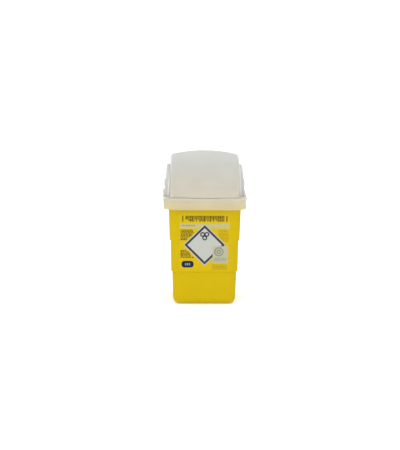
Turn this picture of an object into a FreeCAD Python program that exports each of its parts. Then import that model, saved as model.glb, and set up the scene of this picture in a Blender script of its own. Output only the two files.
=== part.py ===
"""Sharps container: a tapering bin, a push-fit collar, a rear housing and a turning hood.

Sizes are in millimetres. The origin is the centre of the underside. +Z is up, -Y is the front
and +X is to the right, seen from the front.
"""
import FreeCAD, Part
import math
import os

V = FreeCAD.Vector
SIDES = {"right": 1, "left": -1}

# ---- bin -----------------------------------------------------------------
WALL = 1.8                    # bin wall and floor
BIN_CORNER = 13.0             # corner radius in plan
FLOOR_ROUNDING = 12.0         # rounding between the floor and the walls
FLAT_LOW = (63.2, 62.2)       # height and half depth where the label's flat wall starts
FLAT_HIGH = (185.0, 67.4)     # and where it ends, under the shoulder


def flat_depth(z):
    """Half depth of the flat front and back walls at a height."""
    share = (z - FLAT_LOW[0]) / (FLAT_HIGH[0] - FLAT_LOW[0])
    return FLAT_LOW[1] + share * (FLAT_HIGH[1] - FLAT_LOW[1])


# Height, half width (X) and half depth (Y) of the outside, from the floor up. The sides step out
# twice; the front and back step out once, so the label lies on one flat.
BIN_SECTIONS = [
    (0.0, 58.2, 58.2),
    (61.2, 60.3, 60.3),
    (63.2, 62.4, flat_depth(63.2)),
    (120.7, 63.5, flat_depth(120.7)),
    (122.7, 65.5, flat_depth(122.7)),
    (185.0, 67.4, flat_depth(185.0)),
    (189.0, 71.5, 71.5),
    (200.2, 71.5, 71.5),
]
FLANGE_HALF = 74.0            # snap flange round the bin's rim
FLANGE_CORNER = 20.0
FLANGE_LOW = 195.0
FLANGE_HIGH = 197.5

# ---- lid collar ----------------------------------------------------------
SKIRT_LOW = 182.4
BEAD_LOW = 198.4
DECK_LOW = 200.4
DECK_TOP = 202.6
SKIRT_HALF_LOW = 76.8
SKIRT_HALF_HIGH = 77.4
BEAD_HALF = 78.4
BEAD_CHAMFER = 1.2
COLLAR_CORNER = 23.0
SKIRT_WALL = 2.0
MOUTH_HALF = 65.3             # mouth in the deck: crowned front and back, like the hood above it
MOUTH_FRONT = 57.0
MOUTH_BACK = 60.0
MOUTH_CORNER = 8.0
THROAT_LOW = 196.0            # short wall that hangs from the mouth's edge
THROAT_WALL = 1.6
HOOK_LENGTH = 12.0            # one-way snap hooks that catch under the bin's flange
HOOK_TIP = 72.4               # how far in a hook reaches, from the centre
HOOK_TOP = 194.4
HOOK_NOSE = 192.4             # height where the hook's nose ends and its lead-in slope starts
HOOK_FOOT = 189.6
HOOK_ROOT_OVERLAP = 0.6       # depth that a hook is sunk into the skirt
HOOK_FOOT_DEPTH = 1.4
HOOK_OFFSET = 30.0            # hooks stand this far either side of each wall's middle

# ---- closure -------------------------------------------------------------
AXIS_Z = 222.0                # the hood turns about a line along X at this height
HOOD_RADIUS = 62.2            # from the axis to the crown, at mid width
CROWN_RADIUS = 265.0          # bulge of the hood across its width
HOOD_HALF = 64.8
HOOD_CORNER = 8.0
HOOD_WALL = 2.0
HOOD_LOW = 203.2
HOOD_BACK_DEG = 51.0          # direction of the hood's rear edge, from straight up
HUB_RADIUS = 12.0
HUB_INNER_X = 61.0
LIP_HIGH = 206.2              # finger lip along the hood's lower front edge
LIP_DEPTH = 0.8
HOOD_FOOT_Y = -24.0           # the hood's side walls end here at the deck, behind is open
HOUSING_GAP = 1.2             # running gap between the hood and the housing
HOUSING_WALL = 2.0
HOUSING_RIM_DEG = 58.0        # direction of the housing's top rim, from straight up
HOUSING_HALF_LOW = 75.5
HOUSING_CORNER = 9.0          # rounding between the rear shell and the cheeks
CHEEK_LEAN = 0.081            # inward lean of the cheeks per unit of height
CHEEK_WALL = 2.2
RIM_DEPTH = 2.6               # thickness of the flange that closes each cheek in to the hood
EAR_RADIUS = 35.0             # rounded front of each cheek
BOSS_RADIUS = 9.0
BOSS_INNER_X = 65.3
BOSS_OUTER_X = 74.8

# ---- pivot pins ----------------------------------------------------------
PIN_RADIUS = 4.0
RUNNING_CLEARANCE = 0.05
SEAT_CLEARANCE = 0.03
PIN_HEAD_RADIUS = 6.5
PIN_HEAD_THICKNESS = 1.2
BARB_OUTER_X = 60.6
BARB_INNER_X = 57.4
BARB_RADIUS = 4.7
BARB_TIP_RADIUS = 3.0
PIN_SLOT = 1.2
PIN_SLOT_LENGTH = 9.0

# ---- labels --------------------------------------------------------------
FILM = 0.25
STICKER = 0.2
LABEL_GAP = 0.02
LABEL_HALF_WIDTH = 48.0
LABEL_LOW = 65.0
LABEL_HIGH = 175.5
LABEL_CORNER = 2.0
STICKER_CORNER = 1.0
PLACARD_HALF_DIAGONAL = 40.0
PLACARD_Z = 115.0
APPROVAL_X = (15.0, 44.0)
APPROVAL_Z = (80.5, 112.5)
BADGE_X = (-43.0, -20.4)
BADGE_Z = (71.6, 84.2)
BADGE_CORNER = 5.6

FAR = 120.0                   # larger than any half width, for cutting tools
OVERCUT = 1.0                 # cutting tools run this far past the faces that they open
TOUCH = 0.01                  # tolerance for finding an edge by its place


def rounded_rect(half_x, half_y, radius, z):
    """A closed wire: a rounded rectangle at height z."""
    diagonal = radius * math.sqrt(0.5)
    corners = [(1, -1), (1, 1), (-1, 1), (-1, -1)]
    edges = []
    ends = []
    for sx, sy in corners:
        cx = sx * (half_x - radius)
        cy = sy * (half_y - radius)
        on_side = V(sx * half_x, cy, z)
        on_end = V(cx, sy * half_y, z)
        middle = V(cx + sx * diagonal, cy + sy * diagonal, z)
        first, last = (on_end, on_side) if sx * sy < 0 else (on_side, on_end)
        edges.append(Part.Arc(first, middle, last).toShape())
        ends.append((first, last))
    wire = []
    for index, edge in enumerate(edges):
        following = ends[(index + 1) % len(ends)][0]
        wire.append(edge)
        wire.append(Part.makeLine(ends[index][1], following))
    return Part.Wire(wire)


def stack(sections, inset, corner):
    """A solid through rounded rectangles of (z, half width, half depth)."""
    wires = []
    for z, half_x, half_y in sections:
        wires.append(rounded_rect(half_x - inset, half_y - inset, corner - inset, z))
    return Part.makeLoft(wires, True, True)


def level_edges(shape, z):
    """The edges that lie at height z."""
    return [edge for edge in shape.Edges
            if edge.BoundBox.ZMin > z - TOUCH and edge.BoundBox.ZMax < z + TOUCH]


def slab(z_low, z_high, y_low=-FAR, y_high=FAR):
    """A box as wide as any part, between two heights and two depths."""
    return Part.makeBox(2 * FAR, y_high - y_low, z_high - z_low, V(-FAR, y_low, z_low))


def side_prism(face):
    """A face drawn in the YZ plane, spread over the full width."""
    face.translate(V(-FAR, 0, 0))
    return face.extrude(V(2 * FAR, 0, 0))


def at_angle(radius, degrees):
    """A YZ point at a radius from the closure axis; 0 is straight up, positive is backwards."""
    turn = math.radians(degrees)
    return V(0, radius * math.sin(turn), AXIS_Z + radius * math.cos(turn))


def barrel_face(top, half_width, corner):
    """Outline of the barrel above its axis: flat ends, rounded corners, crowned middle."""
    crown_z = AXIS_Z + top - CROWN_RADIUS
    corner_x = half_width - corner
    corner_z = crown_z + math.sqrt((CROWN_RADIUS - corner) ** 2 - corner_x ** 2)
    reach = CROWN_RADIUS / (CROWN_RADIUS - corner)
    meet = V(corner_x * reach, 0, crown_z + (corner_z - crown_z) * reach)
    leave = V(half_width, 0, corner_z)
    bisector = (meet - V(corner_x, 0, corner_z)) + (leave - V(corner_x, 0, corner_z))
    middle = V(corner_x, 0, corner_z) + bisector.normalize() * corner

    def other(point):
        return V(-point.x, 0, point.z)

    foot = V(half_width, 0, AXIS_Z)
    edges = [
        Part.makeLine(foot, leave),
        Part.Arc(leave, middle, meet).toShape(),
        Part.Arc(meet, V(0, 0, AXIS_Z + top), other(meet)).toShape(),
        Part.Arc(other(meet), other(middle), other(leave)).toShape(),
        Part.makeLine(other(leave), other(foot)),
        Part.makeLine(other(foot), foot),
    ]
    return Part.Face(Part.Wire(edges))


def barrel(top, half_width, corner):
    """The full round barrel about the closure axis."""
    return barrel_face(top, half_width, corner).revolve(V(0, 0, AXIS_Z), V(1, 0, 0), 360)


def apron(top, half_width, corner, z_low):
    """The barrel's plan outline carried straight down in front of the axis."""
    face = barrel_face(top, half_width, corner)
    face.rotate(V(0, 0, AXIS_Z), V(1, 0, 0), 90)
    return face.extrude(V(0, 0, z_low - AXIS_Z))


def make_bin():
    outside = stack(BIN_SECTIONS, 0.0, BIN_CORNER)
    outside = outside.makeFillet(FLOOR_ROUNDING, level_edges(outside, 0.0))
    _, half_x, half_y = BIN_SECTIONS[0]
    z_rim, rim_x, rim_y = BIN_SECTIONS[-1]
    hollow_sections = [(WALL, half_x, half_y)] + BIN_SECTIONS[1:-1] + [(z_rim + OVERCUT, rim_x, rim_y)]
    hollow = stack(hollow_sections, WALL, BIN_CORNER)
    hollow = hollow.makeFillet(FLOOR_ROUNDING - WALL, level_edges(hollow, WALL))
    flange = Part.Face(rounded_rect(FLANGE_HALF, FLANGE_HALF, FLANGE_CORNER, FLANGE_LOW))
    flange = flange.extrude(V(0, 0, FLANGE_HIGH - FLANGE_LOW))
    return outside.fuse(flange).cut(hollow).removeSplitter()


def snap_hook():
    """One wedge on the skirt's inner wall, at +X."""
    root = SKIRT_HALF_LOW - HOOK_ROOT_OVERLAP
    points = [
        V(HOOK_TIP, 0, HOOK_TOP),
        V(root, 0, HOOK_TOP),
        V(root, 0, HOOK_FOOT),
        V(root - HOOK_FOOT_DEPTH, 0, HOOK_FOOT),
        V(HOOK_TIP, 0, HOOK_NOSE),
    ]
    face = Part.Face(Part.makePolygon(points + points[:1]))
    face.translate(V(0, -HOOK_LENGTH / 2, 0))
    return face.extrude(V(0, HOOK_LENGTH, 0))


def mouth_column(grow, z_low, z_high):
    """The mouth's plan outline as an upright column, grown outwards by a margin."""
    half = MOUTH_HALF + grow
    corner = MOUTH_CORNER + grow
    front = apron(MOUTH_FRONT + grow, half, corner, z_low)
    back = apron(MOUTH_BACK + grow, half, corner, z_low).mirror(V(0, 0, 0), V(0, 1, 0))
    return front.fuse(back).common(slab(z_low, z_high))


def make_lid_collar():
    bead_sections = [
        (BEAD_LOW, BEAD_HALF, BEAD_HALF),
        (DECK_TOP - BEAD_CHAMFER, BEAD_HALF, BEAD_HALF),
        (DECK_TOP, BEAD_HALF - BEAD_CHAMFER, BEAD_HALF - BEAD_CHAMFER),
    ]
    skirt_sections = [
        (SKIRT_LOW, SKIRT_HALF_LOW, SKIRT_HALF_LOW),
        (BEAD_LOW, SKIRT_HALF_HIGH, SKIRT_HALF_HIGH),
    ]
    hollow_sections = [
        (SKIRT_LOW - OVERCUT, SKIRT_HALF_LOW, SKIRT_HALF_LOW),
        (DECK_LOW, SKIRT_HALF_HIGH, SKIRT_HALF_HIGH),
    ]
    collar = stack(skirt_sections, 0.0, COLLAR_CORNER)
    collar = collar.fuse(stack(bead_sections, 0.0, COLLAR_CORNER))
    collar = collar.cut(stack(hollow_sections, SKIRT_WALL, COLLAR_CORNER))
    collar = collar.fuse(mouth_column(THROAT_WALL, THROAT_LOW, DECK_TOP))
    collar = collar.cut(mouth_column(0.0, THROAT_LOW - OVERCUT, DECK_TOP + OVERCUT))

    for quarter in range(4):
        for offset in (-HOOK_OFFSET, HOOK_OFFSET):
            hook = snap_hook()
            hook.translate(V(0, offset, 0))
            hook.rotate(V(0, 0, 0), V(0, 0, 1), 90 * quarter)
            collar = collar.fuse(hook)
    return collar.removeSplitter()


def cheek_prism(inset):
    """Everything between the two leaning cheeks, over the full depth."""
    low = DECK_TOP
    high = AXIS_Z + 2 * HOOD_RADIUS
    half_low = HOUSING_HALF_LOW - inset
    half_high = half_low - CHEEK_LEAN * (high - low)
    points = [V(half_low, 0, low), V(half_high, 0, high), V(-half_high, 0, high), V(-half_low, 0, low)]
    face = Part.Face(Part.makePolygon(points + points[:1]))
    face.translate(V(0, -FAR, 0))
    return face.extrude(V(0, 2 * FAR, 0))


def housing_outline(inset):
    """Side view of the housing: round ears in front, a sloping top, then the rear rim."""
    ear = EAR_RADIUS - inset
    rim_foot = at_angle(HOOD_RADIUS - HOOD_CORNER, HOUSING_RIM_DEG) - V(0, 0, inset)
    edges = [
        Part.makeLine(V(0, -ear, DECK_TOP), V(0, -ear, AXIS_Z)),
        Part.Arc(V(0, -ear, AXIS_Z), at_angle(ear, -45), at_angle(ear, 0)).toShape(),
        Part.makeLine(at_angle(ear, 0), rim_foot),
    ]
    rim_far = rim_foot + at_angle(FAR, HOUSING_RIM_DEG) - at_angle(0, 0)
    corner = V(0, rim_far.y, DECK_TOP)
    edges.append(Part.makeLine(rim_foot, rim_far))
    edges.append(Part.makeLine(rim_far, corner))
    edges.append(Part.makeLine(corner, V(0, -ear, DECK_TOP)))
    return side_prism(Part.Face(Part.Wire(edges)))


def make_rear_housing():
    inner_top = HOOD_RADIUS + HOUSING_GAP
    inner_corner = HOUSING_CORNER - HOUSING_WALL
    outer = barrel(inner_top + HOUSING_WALL, HOUSING_HALF_LOW, HOUSING_CORNER).common(cheek_prism(0.0))
    inner = barrel(inner_top, HOUSING_HALF_LOW - HOUSING_WALL, inner_corner)
    shell = outer.cut(inner.common(cheek_prism(CHEEK_WALL))).common(housing_outline(0.0))
    band = housing_outline(0.0).cut(housing_outline(RIM_DEPTH))
    corner = V(-MOUTH_HALF, -FAR, AXIS_Z - FAR)
    between_flanges = Part.makeBox(2 * MOUTH_HALF, 2 * FAR, 2 * FAR, corner)
    flanges = outer.cut(inner.common(between_flanges)).common(band)
    housing = shell.fuse(flanges)
    for sign in SIDES.values():
        boss = cylinder_x(BOSS_RADIUS, BOSS_INNER_X, BOSS_OUTER_X, sign)
        housing = housing.fuse(boss)
    bore = Part.makeCylinder(PIN_RADIUS + SEAT_CLEARANCE, 2 * FAR, V(-FAR, 0, AXIS_Z), V(1, 0, 0))
    return housing.cut(bore).removeSplitter()


def cylinder_x(radius, x_inner, x_outer, sign):
    """A cylinder on the closure axis, on the +X or the -X side."""
    return Part.makeCylinder(radius, x_outer - x_inner, V(sign * x_inner, 0, AXIS_Z), V(sign, 0, 0))


def hood_outline():
    """Side view of the hood: all in front of a rear edge that passes behind the hub."""
    rear = math.radians(HOOD_BACK_DEG)
    along = V(0, math.sin(rear), math.cos(rear))
    behind = V(0, math.cos(rear), -math.sin(rear)) * HUB_RADIUS
    hub_back = at_angle(0, 0) + behind
    rear_far = hub_back + along * FAR
    points = [
        V(0, -FAR, HOOD_LOW),
        V(0, -FAR, rear_far.z + FAR),
        V(0, rear_far.y, rear_far.z + FAR),
        rear_far,
        hub_back,
        V(0, hub_back.y - HUB_RADIUS, AXIS_Z - HUB_RADIUS),
        V(0, HOOD_FOOT_Y, HOOD_LOW),
    ]
    return side_prism(Part.Face(Part.makePolygon(points + points[:1])))


def make_turning_hood():
    inner_half = HOOD_HALF - HOOD_WALL
    inner_top = HOOD_RADIUS - HOOD_WALL
    inner_corner = HOOD_CORNER - HOOD_WALL
    outer = barrel(HOOD_RADIUS, HOOD_HALF, HOOD_CORNER)
    outer = outer.fuse(apron(HOOD_RADIUS, HOOD_HALF, HOOD_CORNER, HOOD_LOW))
    inner = barrel(inner_top, inner_half, inner_corner)
    inner = inner.fuse(apron(inner_top, inner_half, inner_corner, HOOD_LOW - OVERCUT))
    hood = outer.cut(inner).common(hood_outline())

    lip = apron(HOOD_RADIUS + LIP_DEPTH, HOOD_HALF, HOOD_CORNER, HOOD_LOW).cut(inner)
    hood = hood.fuse(lip.common(slab(HOOD_LOW, LIP_HIGH, y_high=HOOD_FOOT_Y)))
    for sign in SIDES.values():
        hood = hood.fuse(cylinder_x(HUB_RADIUS, HUB_INNER_X, HOOD_HALF, sign))
    bore = Part.makeCylinder(PIN_RADIUS + RUNNING_CLEARANCE, 2 * FAR, V(-FAR, 0, AXIS_Z), V(1, 0, 0))
    return hood.cut(bore).removeSplitter()


def make_pivot_pin(sign):
    shaft = cylinder_x(PIN_RADIUS, BARB_OUTER_X, BOSS_OUTER_X, sign)
    head = cylinder_x(PIN_HEAD_RADIUS, BOSS_OUTER_X, BOSS_OUTER_X + PIN_HEAD_THICKNESS, sign)
    head = head.makeChamfer(PIN_HEAD_THICKNESS / 2, outer_rim(head, sign))
    length = BARB_OUTER_X - BARB_INNER_X
    tip = V(sign * BARB_INNER_X, 0, AXIS_Z)
    barb = Part.makeCone(BARB_TIP_RADIUS, BARB_RADIUS, length, tip, V(sign, 0, 0))
    slot_x = BARB_INNER_X if sign > 0 else -BARB_INNER_X - PIN_SLOT_LENGTH
    slot = Part.makeBox(PIN_SLOT_LENGTH, PIN_SLOT, 2 * FAR, V(slot_x, -PIN_SLOT / 2, AXIS_Z - FAR))
    return shaft.fuse(head).fuse(barb).cut(slot).removeSplitter()


def outer_rim(head, sign):
    """The round edge on the pin head's outer face."""
    face_x = sign * (BOSS_OUTER_X + PIN_HEAD_THICKNESS)
    return [edge for edge in head.Edges
            if abs(edge.BoundBox.XMin - face_x) < TOUCH and abs(edge.BoundBox.XMax - face_x) < TOUCH]


def on_front_wall(flat, lift):
    """Lay a plate drawn in the XZ plane, its back at Y = 0, on the bin's sloping front wall."""
    z_low, half_low = FLAT_LOW
    z_high, half_high = FLAT_HIGH
    slope = math.degrees(math.atan2(half_high - half_low, z_high - z_low))
    flat.translate(V(0, -lift, -z_low))
    flat.rotate(V(0, 0, 0), V(1, 0, 0), slope)
    flat.translate(V(0, -half_low, z_low))
    return flat


def plate(x_low, x_high, z_low, z_high, thickness, corner):
    """A rounded plate in the XZ plane that stands out towards -Y."""
    half_x = (x_high - x_low) / 2
    half_z = (z_high - z_low) / 2
    solid = Part.Face(rounded_rect(half_x, half_z, corner, 0.0)).extrude(V(0, 0, thickness))
    solid.rotate(V(0, 0, 0), V(1, 0, 0), 90)
    solid.translate(V((x_low + x_high) / 2, 0, (z_low + z_high) / 2))
    return solid


def make_front_label():
    film = plate(-LABEL_HALF_WIDTH, LABEL_HALF_WIDTH, LABEL_LOW, LABEL_HIGH, FILM, LABEL_CORNER)
    return on_front_wall(film, LABEL_GAP)


def make_hazard_placard():
    half = PLACARD_HALF_DIAGONAL * math.sqrt(0.5)
    square = plate(-half, half, -half, half, STICKER, STICKER_CORNER)
    square.rotate(V(0, 0, 0), V(0, 1, 0), 45)
    square.translate(V(0, 0, PLACARD_Z))
    return on_front_wall(square, 2 * LABEL_GAP + FILM)


def make_approval_sticker():
    panel = plate(*APPROVAL_X, *APPROVAL_Z, STICKER, STICKER_CORNER)
    return on_front_wall(panel, 3 * LABEL_GAP + FILM + STICKER)


def make_maker_badge():
    badge = plate(*BADGE_X, *BADGE_Z, STICKER, BADGE_CORNER)
    return on_front_wall(badge, 2 * LABEL_GAP + FILM)


def main():
    parts = {
        "bin": make_bin(),
        "lid_collar": make_lid_collar(),
        "rear_housing": make_rear_housing(),
        "turning_hood": make_turning_hood(),
        "front_label": make_front_label(),
        "hazard_placard": make_hazard_placard(),
        "approval_sticker": make_approval_sticker(),
        "maker_badge": make_maker_badge(),
    }
    for name, sign in SIDES.items():
        parts["pivot_pin_" + name] = make_pivot_pin(sign)

    os.makedirs("parts", exist_ok=True)
    for name, shape in parts.items():
        print(name, shape.isValid(), len(shape.Solids), "solid,", round(shape.Volume / 1000, 2), "cm3")
        shape.exportStep("parts/" + name + ".step")


main()
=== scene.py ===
"""Looks for the sharps container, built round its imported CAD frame. Lengths are in metres."""

import math
import random

import bpy
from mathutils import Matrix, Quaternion, Vector


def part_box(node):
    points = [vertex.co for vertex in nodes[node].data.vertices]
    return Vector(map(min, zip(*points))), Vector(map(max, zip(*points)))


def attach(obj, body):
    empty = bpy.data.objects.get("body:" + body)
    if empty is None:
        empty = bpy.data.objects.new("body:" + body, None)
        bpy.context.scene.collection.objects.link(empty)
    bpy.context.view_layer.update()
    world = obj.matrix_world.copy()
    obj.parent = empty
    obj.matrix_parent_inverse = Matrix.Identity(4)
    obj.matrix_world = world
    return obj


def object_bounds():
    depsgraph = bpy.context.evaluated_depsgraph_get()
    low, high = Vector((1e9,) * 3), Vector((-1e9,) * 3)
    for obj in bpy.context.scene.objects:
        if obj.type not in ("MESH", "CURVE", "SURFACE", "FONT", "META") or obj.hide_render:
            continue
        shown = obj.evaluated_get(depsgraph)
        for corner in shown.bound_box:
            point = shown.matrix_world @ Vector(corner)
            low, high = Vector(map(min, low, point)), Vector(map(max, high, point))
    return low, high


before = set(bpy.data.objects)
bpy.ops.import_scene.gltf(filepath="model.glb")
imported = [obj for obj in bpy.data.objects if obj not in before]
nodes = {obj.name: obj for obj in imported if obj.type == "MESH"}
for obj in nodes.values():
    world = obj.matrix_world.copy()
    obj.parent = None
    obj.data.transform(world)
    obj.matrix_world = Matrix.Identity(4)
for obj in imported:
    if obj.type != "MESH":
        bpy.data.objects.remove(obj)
cad_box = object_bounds()
BODY = "container"
MM = 0.001

skirt_foot, deck_top = (corner.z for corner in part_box("lid_collar"))
hood_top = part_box("turning_hood")[1].z
hood_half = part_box("turning_hood")[1].x
housing_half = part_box("rear_housing")[1].x

# ---- camera --------------------------------------------------------------
VIEW_HIGH = 855.0 * MM        # height that the image covers at the object
ELEVATION = math.radians(10.0)
AZIMUTH = math.radians(-1.0)
ROLL = math.radians(0.35)
LENS = 135.0                  # mm, as Blender counts lenses
SENSOR = 36.0                 # mm along the image's longer side, its height
FAR_CLIP = 200.0
AIM = Vector((-7.8 * MM, 0.0, 141.2 * MM))


def make_camera():
    """A long lens a little above the rim and very slightly to the left."""
    data = bpy.data.cameras.new("camera")
    data.lens = LENS
    data.sensor_width = SENSOR
    data.clip_end = FAR_CLIP
    camera = bpy.data.objects.new("camera", data)
    bpy.context.scene.collection.objects.link(camera)
    distance = VIEW_HIGH * LENS / SENSOR
    back = Vector((
        math.sin(AZIMUTH) * math.cos(ELEVATION),
        -math.cos(AZIMUTH) * math.cos(ELEVATION),
        math.sin(ELEVATION),
    ))
    camera.location = AIM + back * distance
    camera.rotation_mode = "QUATERNION"
    camera.rotation_quaternion = (-back).to_track_quat("-Z", "Y") @ Quaternion((0, 0, 1), ROLL)
    bpy.context.scene.camera = camera


# ---- studio --------------------------------------------------------------
WORLD_STRENGTH = 1.1
LIT_POINT = (0.0, 0.0, 0.14)  # about the middle of the object
FLOOR_HALF = 40.0
FLOOR_GAP = 0.2 * MM          # keeps the floor just clear of the base


def area_light(name, place, aim, size, power):
    data = bpy.data.lights.new(name, "AREA")
    data.shape = "RECTANGLE"
    data.size = size[0]
    data.size_y = size[1]
    data.energy = power
    light = bpy.data.objects.new(name, data)
    light.location = place
    light.rotation_mode = "QUATERNION"
    light.rotation_quaternion = (Vector(aim) - Vector(place)).to_track_quat("-Z", "Y")
    bpy.context.scene.collection.objects.link(light)


def make_world():
    """Even white light from all round."""
    world = bpy.data.worlds.new("studio")
    world.use_nodes = True
    background = world.node_tree.nodes["Background"]
    background.inputs["Color"].default_value = (1.0, 1.0, 1.0, 1.0)
    background.inputs["Strength"].default_value = WORLD_STRENGTH
    bpy.context.scene.world = world
    bpy.context.scene.view_settings.view_transform = "Standard"


def make_floor():
    height = cad_box[0].z - FLOOR_GAP
    corners = [(-1, -1), (1, -1), (1, 1), (-1, 1)]
    points = [(x * FLOOR_HALF, y * FLOOR_HALF, height) for x, y in corners]
    mesh = bpy.data.meshes.new("floor")
    mesh.from_pydata(points, [], [(0, 1, 2, 3)])
    floor = bpy.data.objects.new("floor", mesh)
    bpy.context.scene.collection.objects.link(floor)
    floor.data.materials.append(floor_paper())


def make_studio():
    make_world()
    area_light("front", place=(-0.4, -1.7, 0.2), aim=LIT_POINT, size=(1.6, 1.0), power=10.0)
    area_light("overhead", place=(0.0, -0.4, 1.7), aim=LIT_POINT, size=(1.2, 1.2), power=5.0)
    make_floor()


# ---- material helpers ----------------------------------------------------
def rgba(red, green, blue):
    return (red, green, blue, 1.0)


def new_material(name):
    material = bpy.data.materials.new(name)
    material.use_nodes = True
    tree = material.node_tree
    return material, tree, tree.nodes["Principled BSDF"]


def noise(tree, scale, detail=3.0, stretch=(1.0, 1.0, 1.0)):
    """Noise in the object's own metres; scale is cycles per metre."""
    place = tree.nodes.new("ShaderNodeTexCoord")
    mapping = tree.nodes.new("ShaderNodeMapping")
    mapping.inputs["Scale"].default_value = stretch
    texture = tree.nodes.new("ShaderNodeTexNoise")
    texture.inputs["Scale"].default_value = scale
    texture.inputs["Detail"].default_value = detail
    tree.links.new(place.outputs["Object"], mapping.inputs["Vector"])
    tree.links.new(mapping.outputs["Vector"], texture.inputs["Vector"])
    return texture.outputs["Fac"]


def spread(tree, value, low, high, to_low, to_high):
    """Value between low and high becomes a number between to_low and to_high."""
    node = tree.nodes.new("ShaderNodeMapRange")
    node.inputs["From Min"].default_value = low
    node.inputs["From Max"].default_value = high
    node.inputs["To Min"].default_value = to_low
    node.inputs["To Max"].default_value = to_high
    tree.links.new(value, node.inputs["Value"])
    return node.outputs["Result"]


def coordinate(tree, axis):
    """The object's own X, Y or Z, in metres."""
    place = tree.nodes.new("ShaderNodeTexCoord")
    split = tree.nodes.new("ShaderNodeSeparateXYZ")
    tree.links.new(place.outputs["Object"], split.inputs["Vector"])
    return split.outputs[axis]


def along(tree, axis, start, end):
    """0 at start and 1 at end on the object's own axis."""
    return spread(tree, coordinate(tree, axis), start, end, 0.0, 1.0)


def towards_side(tree, x_inner, x_outer, lean, z_foot):
    """0 at |x| = x_inner and 1 at x_outer, both drawn in by lean for each metre above z_foot."""
    beside = tree.nodes.new("ShaderNodeMath")
    beside.operation = "ABSOLUTE"
    tree.links.new(coordinate(tree, "X"), beside.inputs[0])
    upright = tree.nodes.new("ShaderNodeMath")
    upright.operation = "MULTIPLY_ADD"
    tree.links.new(coordinate(tree, "Z"), upright.inputs[0])
    upright.inputs[1].default_value = lean
    tree.links.new(beside.outputs["Value"], upright.inputs[2])
    drift = lean * z_foot
    return spread(tree, upright.outputs["Value"], x_inner + drift, x_outer + drift, 0.0, 1.0)


def tint_ramp(tree, factor, stops):
    """A colour along stops, pairs of (share, tint)."""
    ramp = tree.nodes.new("ShaderNodeValToRGB")
    tree.links.new(factor, ramp.inputs["Fac"])
    bands = ramp.color_ramp.elements
    while len(bands) < len(stops):
        bands.new(1.0)
    for band, (share, colour) in zip(bands, stops):
        band.position = share
        band.color = rgba(*colour)
    return ramp.outputs["Color"]


def blend_colours(tree, factor, first, second):
    """A colour between first and second; either may be an output or four numbers."""
    node = tree.nodes.new("ShaderNodeMix")
    node.data_type = "RGBA"
    tree.links.new(factor, node.inputs["Factor"])
    for socket, colour in ((node.inputs[6], first), (node.inputs[7], second)):
        if isinstance(colour, tuple):
            socket.default_value = colour
        else:
            tree.links.new(colour, socket)
    return node.outputs[2]


def multiply_colours(tree, first, second):
    both = tree.nodes.new("ShaderNodeVectorMath")
    both.operation = "MULTIPLY"
    tree.links.new(first, both.inputs[0])
    tree.links.new(second, both.inputs[1])
    return both.outputs["Vector"]


def bump(tree, shader, height, strength, depth):
    """Relief from a height between 0 and 1, depth deep at full strength."""
    node = tree.nodes.new("ShaderNodeBump")
    node.inputs["Strength"].default_value = strength
    node.inputs["Distance"].default_value = depth
    tree.links.new(height, node.inputs["Height"])
    tree.links.new(node.outputs["Normal"], shader.inputs["Normal"])


# ---- floor and yellow plastic --------------------------------------------
def floor_paper():
    """Pale matt paper with a faint grain."""
    material, tree, shader = new_material("floor_paper")
    grain = noise(tree, 60.0, 4.0)
    colour = blend_colours(tree, grain, rgba(0.93, 0.95, 0.99), rgba(0.95, 0.97, 1.0))
    tree.links.new(colour, shader.inputs["Base Color"])
    shader.inputs["Roughness"].default_value = 0.9
    shader.inputs["Emission Color"].default_value = rgba(1.0, 1.0, 1.0)
    shader.inputs["Emission Strength"].default_value = 0.2
    return material


def yellow_moulding():
    """Satin yellow polypropylene: faint flow marks, fine orange peel and light scuffs."""
    material, tree, shader = new_material("yellow_moulding")
    flow = noise(tree, 14.0, 3.0, (1.0, 1.0, 0.35))
    scuff = noise(tree, 240.0, 5.0, (0.25, 0.25, 1.6))
    scuff_mask = spread(tree, scuff, 0.66, 0.76, 0.0, 0.18)
    base = blend_colours(tree, flow, rgba(0.455, 0.327, 0.001), rgba(0.498, 0.356, 0.001))
    colour = blend_colours(tree, scuff_mask, base, rgba(0.56, 0.42, 0.05))
    tree.links.new(colour, shader.inputs["Base Color"])
    tree.links.new(spread(tree, scuff, 0.3, 0.75, 0.36, 0.52), shader.inputs["Roughness"])
    shader.inputs["Subsurface Weight"].default_value = 0.12
    shader.inputs["Subsurface Radius"].default_value = (1.0, 0.6, 0.1)
    shader.inputs["Subsurface Scale"].default_value = 2.0 * MM
    shader.inputs["IOR"].default_value = 1.49
    shader.inputs["Specular IOR Level"].default_value = 0.06
    bump(tree, shader, noise(tree, 900.0, 2.0), 0.12, 0.1 * MM)
    return material


# ---- natural plastic of the lid ------------------------------------------
# Tints from a part's foot up, each with its share of the part's height. Apart from the pins' even grey,
# they carry painted light and shade as well as the plastic's colour.
# Collar: the warm lower tints are the yellow rim showing through the skirt. The darker tint just under
# the deck is painted shade on its lit front edge, and the pale top stop is painted light against the
# contact shadow at the hood's foot.
COLLAR_TINTS_AND_PAINTED_LIGHT = [
    (0.0, (0.755, 0.67, 0.37)),
    (0.3, (0.785, 0.705, 0.44)),
    (0.6, (0.80, 0.75, 0.57)),
    (0.97, (0.74, 0.71, 0.57)),
    (1.0, (0.92, 0.89, 0.77)),
]
# Housing: near white so that its front edge can carry a painted bright band; behind and outside that
# band a factor brings it down to the plastic's plain tone.
HOUSING_TINTS_AND_PAINTED_LIGHT = [
    (0.0, (0.98, 0.96, 0.90)),
    (0.4, (0.98, 0.97, 0.94)),
    (1.0, (0.97, 0.97, 0.95)),
]
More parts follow.
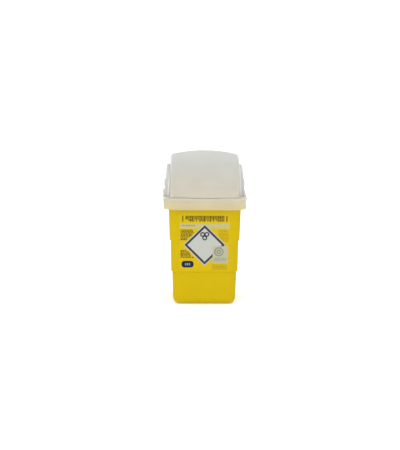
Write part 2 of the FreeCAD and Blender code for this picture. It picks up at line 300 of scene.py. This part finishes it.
# Hood: one plastic given painted light and shade, pale at the foot to lift the contact shadow on the
# deck, darker up the middle where the lamps fall most, and a little paler again at the crown.
HOOD_PAINTED_LIGHT_TINTS = [
    (0.0, (0.98, 0.93, 0.80)),
    (0.06, (0.77, 0.725, 0.605)),
    (0.22, (0.665, 0.63, 0.55)),
    (0.45, (0.63, 0.61, 0.53)),
    (0.72, (0.615, 0.61, 0.57)),
    (1.0, (0.67, 0.675, 0.64)),
]
PIN_TINTS = [
    (0.0, (0.85, 0.84, 0.79)),
    (1.0, (0.85, 0.84, 0.79)),
]

RIM_WIDTH = 8.0 * MM          # across the housing's front edge, which holds a painted bright band
RIM_LEAN = 0.081              # how far the housing's sides lean in for each unit up
RIM_PAINTED_LIGHT = [                # painted light on the edge, from its inner side outwards
    (0.0, (1.0, 1.0, 1.0)),
    (0.3, (1.0, 1.0, 1.0)),
    (0.45, (0.73, 0.73, 0.73)),
]
RIM_FADE = (5.0 * MM, 25.0 * MM)      # Y where the edge's painted band begins and ends to give way
# The housing's plain tone, as a factor, behind the edge and outside its painted band.
SHADE_BEHIND = (0.73, 0.73, 0.72)

EDGE_WIDTH = 5.0 * MM         # over which painted light turns the hood's sides pale
EDGE_LEAN = 0.089             # widening of the painted pale edge for each unit up
EDGE_RISE = 23.0 * MM         # above the deck, where it starts
EDGE_PAINTED_LIGHT = (0.95, 0.95, 0.93)

COLLAR_CLEAR = 0.5
COVER_CLEAR = 0.3             # hood, housing and pins


def housing_rim_painted_light(tree, tint):
    """The housing's front edge carries a painted bright band on its inner side, standing for light
    through the gap by the hood, and keeps its plain darker tone outside; further back it is even.
    """
    outwards = towards_side(tree, housing_half - RIM_WIDTH, housing_half, RIM_LEAN, deck_top)
    front = tint_ramp(tree, outwards, RIM_PAINTED_LIGHT)
    shade = blend_colours(tree, along(tree, "Y", *RIM_FADE), front, rgba(*SHADE_BEHIND))
    return multiply_colours(tree, tint, shade)


def hood_edges_painted_light(tree, tint):
    """Painted light: the hood's sides turn paler towards the crown, standing for the white light that
    washes out its edges.
    """
    outwards = towards_side(tree, hood_half, hood_half + EDGE_WIDTH, EDGE_LEAN, deck_top + EDGE_RISE)
    return blend_colours(tree, outwards, tint, rgba(*EDGE_PAINTED_LIGHT))


def natural_moulding(name, z_span, stops, clear, paint_edge_light=None):
    """Translucent natural polypropylene, cloudy, with its tint running along stops over z_span; on the
    collar, housing and hood the stops also hold painted light and shade.

    clear is the shader's transmission weight. The last argument, if given, is a function of (tree, tint)
    that returns the tint with painted light worked into the part's edges.
    """
    material, tree, shader = new_material(name)
    tint = tint_ramp(tree, along(tree, "Z", *z_span), stops)
    if paint_edge_light:
        tint = paint_edge_light(tree, tint)
    cloud = spread(tree, noise(tree, 22.0, 3.0), 0.3, 0.7, 0.93, 1.0)
    colour = tree.nodes.new("ShaderNodeVectorMath")
    colour.operation = "SCALE"
    tree.links.new(tint, colour.inputs[0])
    tree.links.new(cloud, colour.inputs["Scale"])
    tree.links.new(colour.outputs[0], shader.inputs["Base Color"])
    fine = noise(tree, 500.0, 4.0)
    tree.links.new(spread(tree, fine, 0.3, 0.7, 0.38, 0.5), shader.inputs["Roughness"])
    shader.inputs["Transmission Weight"].default_value = clear
    shader.inputs["IOR"].default_value = 1.2
    shader.inputs["Subsurface Weight"].default_value = 0.8
    shader.inputs["Subsurface Radius"].default_value = (1.0, 0.95, 0.85)
    shader.inputs["Subsurface Scale"].default_value = 3.0 * MM
    bump(tree, shader, noise(tree, 700.0, 2.0), 0.1, 0.1 * MM)
    return material


# ---- films and inks ------------------------------------------------------
INK_COLOURS = {
    "olive": (0.10, 0.07, 0.003),
    "brown": (0.10, 0.068, 0.003),
    "ochre": (0.28, 0.18, 0.003),
    "grey": (0.20, 0.20, 0.17),
    "black": (0.035, 0.035, 0.05),
    "pale": (0.38, 0.35, 0.15),
    "blue": (0.16, 0.20, 0.42),
    "seal": (0.20, 0.21, 0.17),
}


def printed(name, colour, wear=0.12, roughness=0.42):
    """Ink or film: even colour with a faint mottle and tiny missing specks."""
    material, tree, shader = new_material(name)
    mottle = noise(tree, 160.0, 3.0)
    specks = spread(tree, noise(tree, 1400.0, 2.0), 0.68, 0.74, 0.0, wear)
    light = tuple(min(1.0, channel * 1.08 + 0.002) for channel in colour)
    base = blend_colours(tree, mottle, rgba(*colour), rgba(*light))
    speckled = blend_colours(tree, specks, base, rgba(0.62, 0.55, 0.3))
    sheen = spread(tree, mottle, 0.3, 0.7, roughness - 0.05, roughness + 0.08)
    tree.links.new(speckled, shader.inputs["Base Color"])
    tree.links.new(sheen, shader.inputs["Roughness"])
    shader.inputs["Specular IOR Level"].default_value = 0.08
    bump(tree, shader, noise(tree, 1100.0, 2.0), 0.06, 0.05 * MM)
    return material


# ---- materials of the CAD nodes ------------------------------------------
def give(node, material):
    """The CAD node shows this material all over."""
    mesh = nodes[node].data
    for index in range(len(mesh.materials)):
        mesh.materials[index] = material
    if not mesh.materials:
        mesh.materials.append(material)


def dress_lid():
    skirt = (skirt_foot, deck_top)
    cover = (deck_top, hood_top)
    give("lid_collar", natural_moulding("natural_collar", skirt, COLLAR_TINTS_AND_PAINTED_LIGHT, COLLAR_CLEAR))
    housing = natural_moulding("natural_housing", cover, HOUSING_TINTS_AND_PAINTED_LIGHT, COVER_CLEAR, housing_rim_painted_light)
    give("rear_housing", housing)
    hood = natural_moulding("natural_hood", cover, HOOD_PAINTED_LIGHT_TINTS, COVER_CLEAR, hood_edges_painted_light)
    give("turning_hood", hood)
    pin = natural_moulding("natural_pin", cover, PIN_TINTS, COVER_CLEAR)
    give("pivot_pin_left", pin)
    give("pivot_pin_right", pin)


def dress_films():
    give("front_label", printed("label_film", (0.475, 0.334, 0.001), wear=0.05, roughness=0.34))
    give("hazard_placard", printed("placard_paper", (0.38, 0.385, 0.35), wear=0.03))
    give("approval_sticker", printed("approval_paper", (0.35, 0.34, 0.225), wear=0.03))
    give("maker_badge", printed("badge_ink", (0.008, 0.012, 0.03), wear=0.03, roughness=0.3))


# ---- label print ---------------------------------------------------------
# Names in _X are measured from the object's middle and names in _Z from its base.
FILM = 0.25 * MM              # thickness of the label film
INK = 0.05 * MM               # thickness of the print
FILM_LIFT = 0.01 * MM         # print on the label film
STICKER_LIFT = 0.24 * MM      # print on the placard and the badge
OVERLAY_LIFT = 0.46 * MM      # print on the panel, which lies over the placard

HEADING_X = (-36.0 * MM, 35.0 * MM)
HEADING_Z = (159.5 * MM, 170.5 * MM)
HEADING_BLOCK = (1.4 * MM, 3.6 * MM)     # narrowest and widest
HEADING_GAP = 0.7 * MM
HEADING_FOOTS = (0.0, 0.0, 0.1, 0.35)    # how far up the line a block may begin, as shares of its height
HEADING_WAIST = (0.35, 0.65)             # lowest and highest share at which a block is split
HEADING_SPLIT_CHANCE = 0.45
HEADING_BAR_X = 41 * MM
HEADING_BAR_HALF = 1.1 * MM

STRIP_X = (-46.5 * MM, 46.8 * MM)
STRIP_Z = (146.5 * MM, 156.0 * MM)
STRIP_WORDS_X = (-43.0 * MM, -16.0 * MM)
STRIP_WORDS_Z = (150.6 * MM, 153.0 * MM)
STRIP_WORD = (2.0 * MM, 6.0 * MM)     # shortest and longest

SMALL_WORD = (1.5 * MM, 5.5 * MM)
WORD_GAP = 0.8 * MM
LONGEST_RAGGED_END = 2.0 * MM
PRINT_PITCH = 2.6 * MM        # from one row of small print to the next
BOLD_HEIGHT = 1.85 * MM
FINE_HEIGHT = 1.3 * MM
PLACARD_CLEARANCE = 2.5 * MM
# Blocks of small print as (left X, right X, top Z, rows).
BOLD_BLOCKS = [
    (-45.0 * MM, -20.0 * MM, 144.0 * MM, 8),
    (-45.0 * MM, -18.0 * MM, 105.0 * MM, 6),
]
FAINT_BESIDE = (26.0 * MM, 46.0 * MM, 143.5 * MM, 9)
FAINT_BELOW = (14.0 * MM, 44.0 * MM, 77.0 * MM, 4)

BORDER_WIDTH = 4.0 * MM
BORDER_INSET = 1.8 * MM
SYMBOL_RISE = 17.8 * MM       # above the placard's middle
SYMBOL_RING = 4.6 * MM
SYMBOL_HOLE = 0.5             # of the ring's radius
SYMBOL_ANGLES = (30, 150, 270)

SEAL_PLACE = (11.5 * MM, 10.5 * MM)   # in and down from the panel's upper left corner
SEAL_RINGS = [(9.0 * MM, 6.2 * MM), (4.6 * MM, 1.8 * MM)]
PANEL_MARGIN = 2.0 * MM
PANEL_TEXT_DROP = 22.0 * MM
PANEL_ROWS = 3

BADGE_BARS = 3
BADGE_PITCH = 3.6 * MM
BADGE_BAR_HALF = (1.2 * MM, 2.2 * MM)    # half the width and half the height

label_low, label_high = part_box("front_label")
WALL_SLOPE = (label_high.y - label_low.y - FILM) / (label_high.z - label_low.z)
WALL_FOOT = label_high.y - FILM       # front of the film at its lower edge


def on_wall(x, z, lift):
    """A point in front of the film, lift away from it."""
    return Vector((x, WALL_FOOT - WALL_SLOPE * (z - label_low.z) - lift, z))


def print_piece(name, outlines, lift, material):
    """Thin raised ink; each outline is a list of (x, z) corners, anticlockwise from the front."""
    vertices = []
    faces = []
    for outline in outlines:
        count = len(outline)
        first = len(vertices)
        for height in (lift, lift + INK):
            vertices += [on_wall(x, z, height) for x, z in outline]
        faces.append([first + count + i for i in range(count)])
        for i in range(count):
            following = (i + 1) % count
            faces.append([first + i, first + following, first + count + following, first + count + i])
    mesh = bpy.data.meshes.new(name)
    mesh.from_pydata(vertices, [], faces)
    mesh.update()
    piece = bpy.data.objects.new(name, mesh)
    bpy.context.scene.collection.objects.link(piece)
    piece.data.materials.append(material)
    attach(piece, BODY)


def rectangle(x_low, x_high, z_low, z_high):
    return [(x_low, z_low), (x_high, z_low), (x_high, z_high), (x_low, z_high)]


def word_blocks(draw, x_low, x_high, z_low, z_high, shortest, longest):
    """One line of greeked print: plain bars of uneven length, standing for words."""
    bars = []
    x = x_low
    while x < x_high - shortest:
        width = min(draw.uniform(shortest, longest), x_high - x)
        bars.append(rectangle(x, x + width, z_low, z_high))
        x += width + WORD_GAP
    return bars


def text_block(draw, x_low, x_high, z_top, rows, height, edge=None):
    """Rows of greeked print; edge(z, low, high) may pull a row's inner end back from the placard."""
    bars = []
    for row in range(rows):
        z = z_top - row * PRINT_PITCH
        low, high = (x_low, x_high) if edge is None else edge(z, x_low, x_high)
        high -= draw.uniform(0.0, LONGEST_RAGGED_END)
        bars += word_blocks(draw, low, high, z - height, z, *SMALL_WORD)
    return bars


def heading_blocks(draw, x_low, x_high, z_low, z_high):
    """Heavy uneven blocks, some split or cut short, standing for a line of large print."""
    blocks = []
    x = x_low
    height = z_high - z_low
    while x < x_high:
        width = draw.uniform(*HEADING_BLOCK)
        foot = z_low + height * draw.choice(HEADING_FOOTS)
        waist = foot + (z_high - foot) * draw.uniform(*HEADING_WAIST)
        if draw.random() < HEADING_SPLIT_CHANCE:
            blocks.append(rectangle(x, x + width, foot, waist - HEADING_GAP / 2))
            blocks.append(rectangle(x, x + width, waist + HEADING_GAP / 2, z_high))
        else:
            blocks.append(rectangle(x, x + width, foot, z_high))
        x += width + HEADING_GAP
    return blocks


def ring_band(centre_x, centre_z, outer, inner, sides=32):
    """A flat ring as quads side by side."""
    quads = []
    for i in range(sides):
        start = 2 * math.pi * i / sides
        end = 2 * math.pi * (i + 1) / sides
        quads.append([
            (centre_x + inner * math.cos(start), centre_z + inner * math.sin(start)),
            (centre_x + outer * math.cos(start), centre_z + outer * math.sin(start)),
            (centre_x + outer * math.cos(end), centre_z + outer * math.sin(end)),
            (centre_x + inner * math.cos(end), centre_z + inner * math.sin(end)),
        ])
    return quads


def middle_of(low, high):
    """X and Z of the middle of a box."""
    return (low.x + high.x) / 2, (low.z + high.z) / 2


def placard_half():
    """Half the placard's diagonal, which lies level."""
    low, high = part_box("hazard_placard")
    return (high.x - low.x) / 2


def print_header(draw, inks):
    """The large heading between two upright bars, and the pale strip below it."""
    heading = heading_blocks(draw, *HEADING_X, *HEADING_Z)
    for side in (-1, 1):
        x = side * HEADING_BAR_X
        heading.append(rectangle(x - HEADING_BAR_HALF, x + HEADING_BAR_HALF, *HEADING_Z))
    print_piece("heading_print", heading, FILM_LIFT, inks["olive"])

    print_piece("pale_strip", [rectangle(*STRIP_X, *STRIP_Z)], FILM_LIFT, inks["pale"])
    words = word_blocks(draw, *STRIP_WORDS_X, *STRIP_WORDS_Z, *STRIP_WORD)
    print_piece("strip_print", words, FILM_LIFT + INK, inks["grey"])


def print_small_rows(draw, inks):
    """Bold blocks left of the placard and faint ones right of it, kept clear of its sides."""
    centre_x, centre_z = middle_of(*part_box("hazard_placard"))
    half = placard_half()

    def beside_placard(z, low, high):
        reach = max(0.0, half - abs(z - centre_z)) + PLACARD_CLEARANCE
        if high < centre_x:
            return low, min(high, centre_x - reach)
        return max(low, centre_x + reach), high

    bold_rows = []
    for block in BOLD_BLOCKS:
        bold_rows += text_block(draw, *block, BOLD_HEIGHT, beside_placard)
    print_piece("small_print", bold_rows, FILM_LIFT, inks["brown"])
    faint_rows = text_block(draw, *FAINT_BESIDE, FINE_HEIGHT, beside_placard)
    faint_rows += text_block(draw, *FAINT_BELOW, FINE_HEIGHT)
    print_piece("faint_print", faint_rows, FILM_LIFT, inks["ochre"])


def print_placard(inks):
    """The placard's dark border and its sign of three rings."""
    centre_x, centre_z = middle_of(*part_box("hazard_placard"))
    outer = placard_half() - BORDER_INSET
    inner = outer - BORDER_WIDTH * math.sqrt(2)
    corners = [(1, 0), (0, 1), (-1, 0), (0, -1)]
    sides = []
    for i in range(4):
        start = corners[i]
        end = corners[(i + 1) % 4]
        sides.append([
            (centre_x + start[0] * inner, centre_z + start[1] * inner),
            (centre_x + start[0] * outer, centre_z + start[1] * outer),
            (centre_x + end[0] * outer, centre_z + end[1] * outer),
            (centre_x + end[0] * inner, centre_z + end[1] * inner),
        ])
    print_piece("placard_border", sides, STICKER_LIFT, inks["black"])

    rings = []
    for angle in SYMBOL_ANGLES:
        turn = math.radians(angle)
        x = centre_x + SYMBOL_RING * math.cos(turn)
        z = centre_z + SYMBOL_RISE + SYMBOL_RING * math.sin(turn)
        rings += ring_band(x, z, SYMBOL_RING, SYMBOL_HOLE * SYMBOL_RING)
    print_piece("placard_symbol", rings, STICKER_LIFT, inks["black"])


def print_panel(draw, inks):
    """A seal of two rings over rows of fine print."""
    low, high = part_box("approval_sticker")
    seal_x = low.x + SEAL_PLACE[0]
    seal_z = high.z - SEAL_PLACE[1]
    marks = []
    for outer, inner in SEAL_RINGS:
        marks += ring_band(seal_x, seal_z, outer, inner)
    marks += text_block(draw, low.x + PANEL_MARGIN, high.x - PANEL_MARGIN,
                        high.z - PANEL_TEXT_DROP, PANEL_ROWS, FINE_HEIGHT)
    print_piece("panel_print", marks, OVERLAY_LIFT, inks["seal"])


def print_badge(inks):
    """A row of plain bars across the badge."""
    badge_x, badge_z = middle_of(*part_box("maker_badge"))
    half_wide, half_high = BADGE_BAR_HALF
    bars = []
    for i in range(BADGE_BARS):
        x = badge_x + (i - (BADGE_BARS - 1) / 2) * BADGE_PITCH
        bars.append(rectangle(x - half_wide, x + half_wide, badge_z - half_high, badge_z + half_high))
    print_piece("badge_bars", bars, STICKER_LIFT, inks["blue"])


def make_label_print():
    """All the print, drawn in one order from one seeded source."""
    inks = {name: printed(name + "_ink", colour) for name, colour in INK_COLOURS.items()}
    draw = random.Random(11)
    print_header(draw, inks)
    print_small_rows(draw, inks)
    print_placard(inks)
    print_panel(draw, inks)
    print_badge(inks)


make_camera()
make_studio()
give("bin", yellow_moulding())
dress_lid()
dress_films()
make_label_print()
